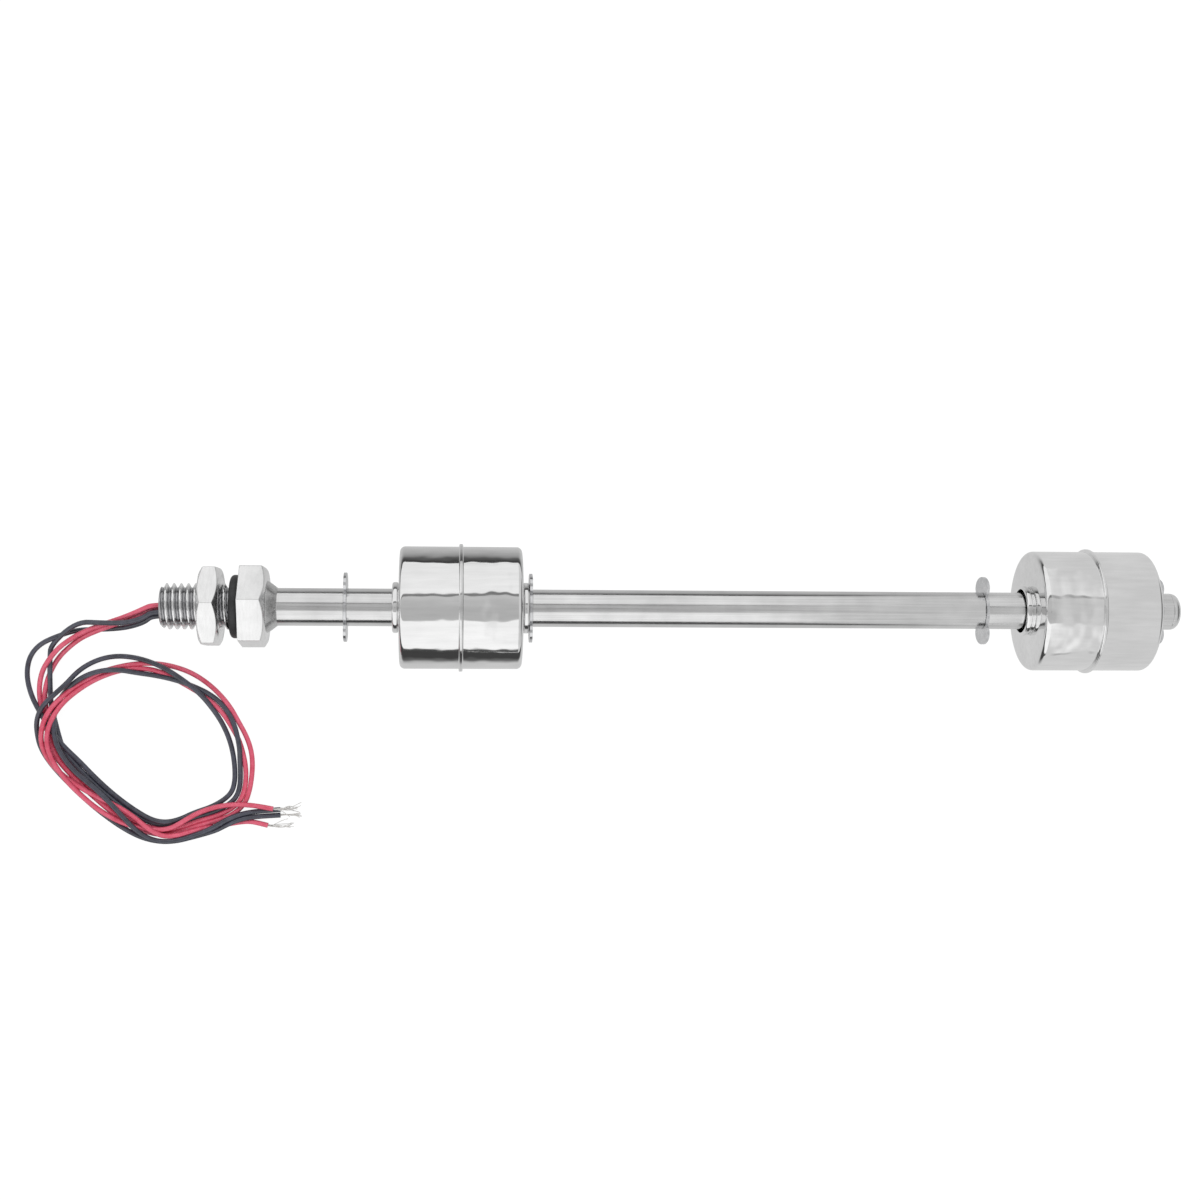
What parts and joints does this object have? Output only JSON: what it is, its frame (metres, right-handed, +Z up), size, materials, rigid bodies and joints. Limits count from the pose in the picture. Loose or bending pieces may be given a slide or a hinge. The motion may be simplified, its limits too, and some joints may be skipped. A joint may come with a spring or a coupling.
{
  "type": "float_level_switch",
  "caption": "Float level switch: thin steel stem with a threaded hexagon head, lock nut and rubber seal, sliding steel floats held between stop clips, and flying leads.",
  "frame": {"origin": "on the surface the switch lies on, under the middle of the stem's whole length from stud end to tip", "axes": "+X along the stem from the threaded head to the tip, +Z up from the surface, +Y across so that the leads lie on its negative side"},
  "size_m": [0.2512, 0.0656, 0.0272],
  "materials": {
    "turned_steel": "turned",
    "drawn_steel": "drawn",
    "spring_steel": "stamped",
    "polished_steel": "polished",
    "seal_rubber": "matt",
    "epoxy": "cast",
    "circuit_board": "laminate",
    "reed_glass": "clear green",
    "reed_alloy": "plated",
    "wire_insulation": "extruded",
    "nylon": "moulded",
    "ferrite": "sintered",
    "red_pvc": "extruded",
    "black_pvc": "extruded",
    "tinned_copper": "tinned"
  },
  "bodies": {
    "stem_assembly": {"mounting_fitting": "turned_steel", "seal_ring": "seal_rubber", "stem_tube": "drawn_steel", "end_plug": "drawn_steel", "potting_plug": "epoxy", "reed_board": "circuit_board", "upper_float_top_clip": "spring_steel", "upper_float_bottom_clip": "spring_steel", "lower_float_top_clip": "spring_steel", "lower_float_bottom_clip": "spring_steel", "upper_reed_glass": "reed_glass", "upper_reed_blades": "reed_alloy", "upper_reed_wires": "wire_insulation", "lower_reed_glass": "reed_glass", "lower_reed_blades": "reed_alloy", "lower_reed_wires": "wire_insulation", "red_lead_1": "red_pvc", "red_lead_2": "red_pvc", "black_lead_1": "black_pvc", "black_lead_2": "black_pvc", "red_lead_1_strands": "tinned_copper", "red_lead_2_strands": "tinned_copper", "black_lead_1_strands": "tinned_copper", "black_lead_2_strands": "tinned_copper"},
    "lock_nut": {"lock_nut": "turned_steel"},
    "upper_float": {"upper_float_top_shell": "polished_steel", "upper_float_bottom_shell": "polished_steel", "upper_float_sleeve": "polished_steel", "upper_float_magnet_holder": "nylon", "upper_float_magnet": "ferrite"},
    "lower_float": {"lower_float_top_shell": "polished_steel", "lower_float_bottom_shell": "polished_steel", "lower_float_sleeve": "polished_steel", "lower_float_magnet_holder": "nylon", "lower_float_magnet": "ferrite"}
  },
  "joints": [
    {"name": "upper_float_slide", "type": "slide", "parent": "stem_assembly", "child": "upper_float", "axis": [-1, 0, 0], "range_m": [0, 0.0095]},
    {"name": "lower_float_slide", "type": "slide", "parent": "stem_assembly", "child": "lower_float", "axis": [-1, 0, 0], "range_m": [-0.0011, 0.00805]},
    {"name": "lock_nut_run", "type": "slide", "parent": "stem_assembly", "child": "lock_nut", "axis": [-1, 0, 0], "range_m": [-0.0018, 0.008]}
  ]
}
